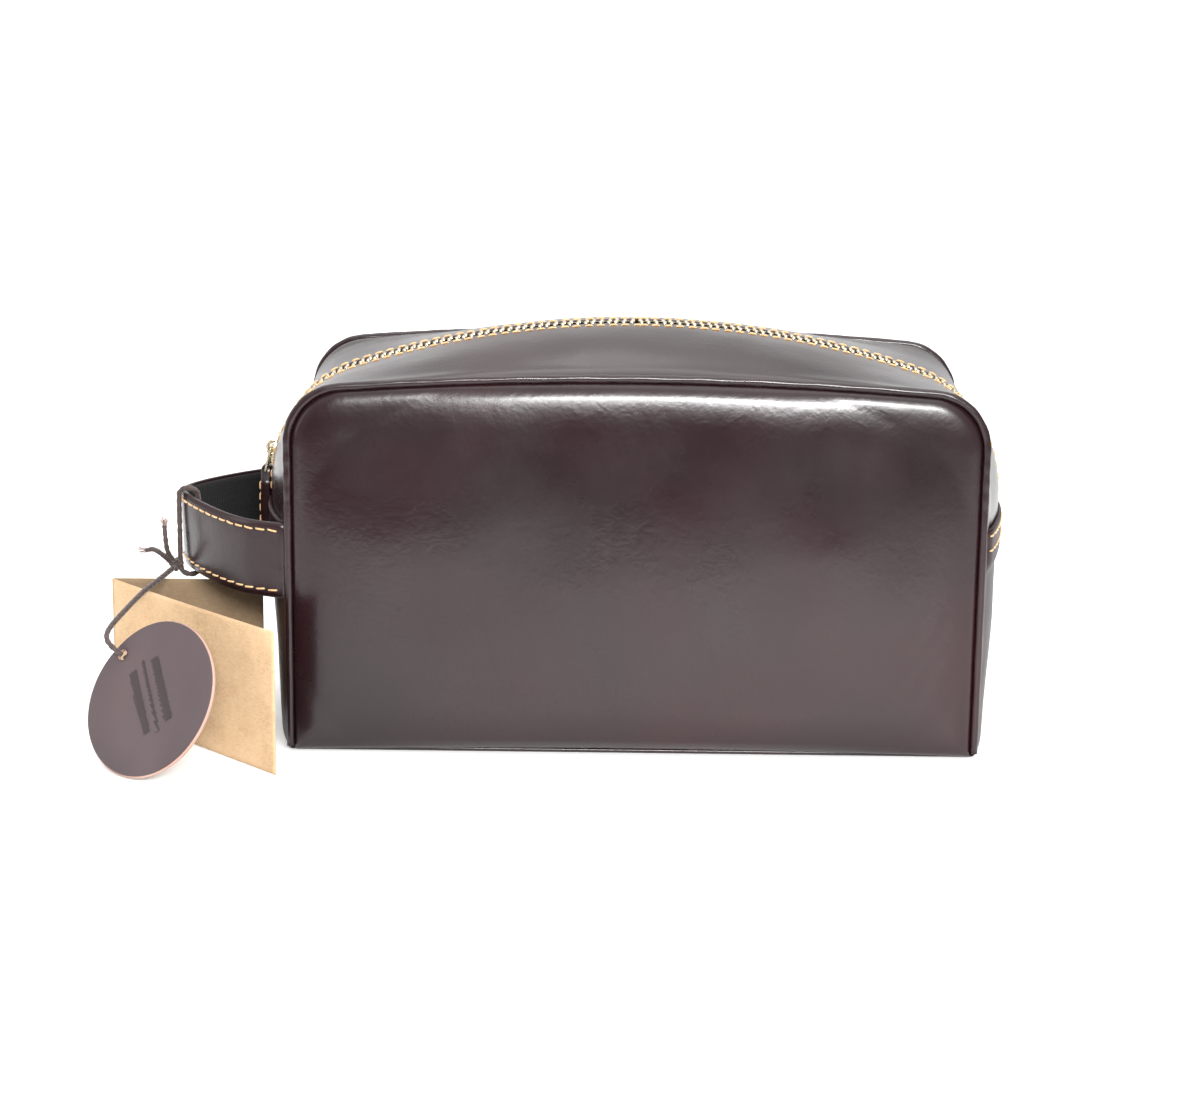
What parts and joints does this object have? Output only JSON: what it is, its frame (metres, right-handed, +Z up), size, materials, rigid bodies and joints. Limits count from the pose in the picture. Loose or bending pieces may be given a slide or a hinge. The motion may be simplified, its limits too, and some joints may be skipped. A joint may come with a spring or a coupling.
{
  "type": "shaving kit bag",
  "caption": "Boxy leather shaving kit bag with a zip curving over its top and ends, a side carry strap and a hang tag.",
  "frame": {"origin": "centre of the base, on the surface that the bag stands on", "axes": "+X along the bag to its right end, away from the strap; +Y to the back; +Z up"},
  "size_m": [0.3283, 0.1573, 0.1495],
  "materials": {
    "dark_leather": "glossy smooth dark brown leather",
    "tag_leather": "smooth satin leather with a raw pale edge",
    "tan_thread": "twisted tan thread",
    "pale_brass": "polished pale brass",
    "black_webbing": "ribbed woven tape",
    "lining_cloth": "plain woven lining",
    "grey_board": "matt stiffener board",
    "waxed_cord": "braided waxed cord",
    "kraft_card": "uncoated kraft card"
  },
  "bodies": {
    "bag": {"front_panel": "dark_leather", "back_panel": "dark_leather", "base_panel": "dark_leather", "left_end_panel": "dark_leather", "right_end_panel": "dark_leather", "front_piping": "dark_leather", "back_piping": "dark_leather", "left_strip_front": "dark_leather", "left_strip_back": "dark_leather", "right_strip_front": "dark_leather", "right_strip_back": "dark_leather", "tape_left_front": "black_webbing", "tape_left_back": "black_webbing", "tape_right_front": "black_webbing", "tape_right_back": "black_webbing", "teeth_left_front": "pale_brass", "teeth_left_back": "pale_brass", "teeth_right_front": "pale_brass", "teeth_right_back": "pale_brass", "zip_stops": "pale_brass", "carry_strap": "dark_leather", "strap_webbing": "black_webbing", "strap_stitching": "tan_thread", "zip_stitching_left": "tan_thread", "zip_stitching_right": "tan_thread", "end_tab_stitching": "tan_thread", "lining_front": "lining_cloth", "lining_back": "lining_cloth", "lining_left_end": "lining_cloth", "lining_right_end": "lining_cloth", "lining_base": "lining_cloth", "base_board": "grey_board", "cord_loop": "waxed_cord", "cord_knot": "waxed_cord", "cord_tails": "waxed_cord", "tag_cord": "waxed_cord", "card_front_leaf": "kraft_card"},
    "mouth_front": {"top_strip_front": "dark_leather", "tape_top_front": "black_webbing", "teeth_top_front": "pale_brass", "zip_stitching_front": "tan_thread"},
    "mouth_back": {"top_strip_back": "dark_leather", "tape_top_back": "black_webbing", "teeth_top_back": "pale_brass", "zip_stitching_back": "tan_thread"},
    "slider": {"slider_body": "pale_brass"},
    "link": {"pull_link": "pale_brass"},
    "tab": {"pull_tab": "dark_leather", "pull_tab_stitching": "tan_thread"},
    "tag": {"hang_tag": "tag_leather", "cord_end_knot": "waxed_cord"},
    "card_back": {"card_back_leaf": "kraft_card"}
  },
  "joints": [
    {"name": "mouth_front", "type": "hinge", "parent": "bag", "child": "mouth_front", "pos_m": [0, -0.0512, 0.137], "axis": [1, 0, 0], "range_deg": [0, 48]},
    {"name": "mouth_back", "type": "hinge", "parent": "bag", "child": "mouth_back", "pos_m": [0, 0.0512, 0.137], "axis": [-1, 0, 0], "range_deg": [0, 48]},
    {"name": "zip_travel", "type": "hinge", "parent": "bag", "child": "slider", "pos_m": [-0.089, 0, 0.08937], "axis": [0, 1, 0], "range_deg": [0, 48]},
    {"name": "link_swing", "type": "hinge", "parent": "slider", "child": "link", "pos_m": [-0.13449, 0, 0.10037], "axis": [0, 1, 0], "range_deg": [0, 36]},
    {"name": "tab_swing", "type": "hinge", "parent": "link", "child": "tab", "pos_m": [-0.13649, 0, 0.09211], "axis": [0, 1, 0], "range_deg": [0, 45]},
    {"name": "tag_swing", "type": "hinge", "parent": "bag", "child": "tag", "pos_m": [-0.1813, -0.05945, 0.0363], "axis": [0.788, -0.6157, 0], "range_deg": [-20, 0]},
    {"name": "card_fold", "type": "hinge", "parent": "bag", "child": "card_back", "pos_m": [-0.1933, -0.01, 0], "axis": [0, 0, -1], "range_deg": [0, 44]}
  ]
}
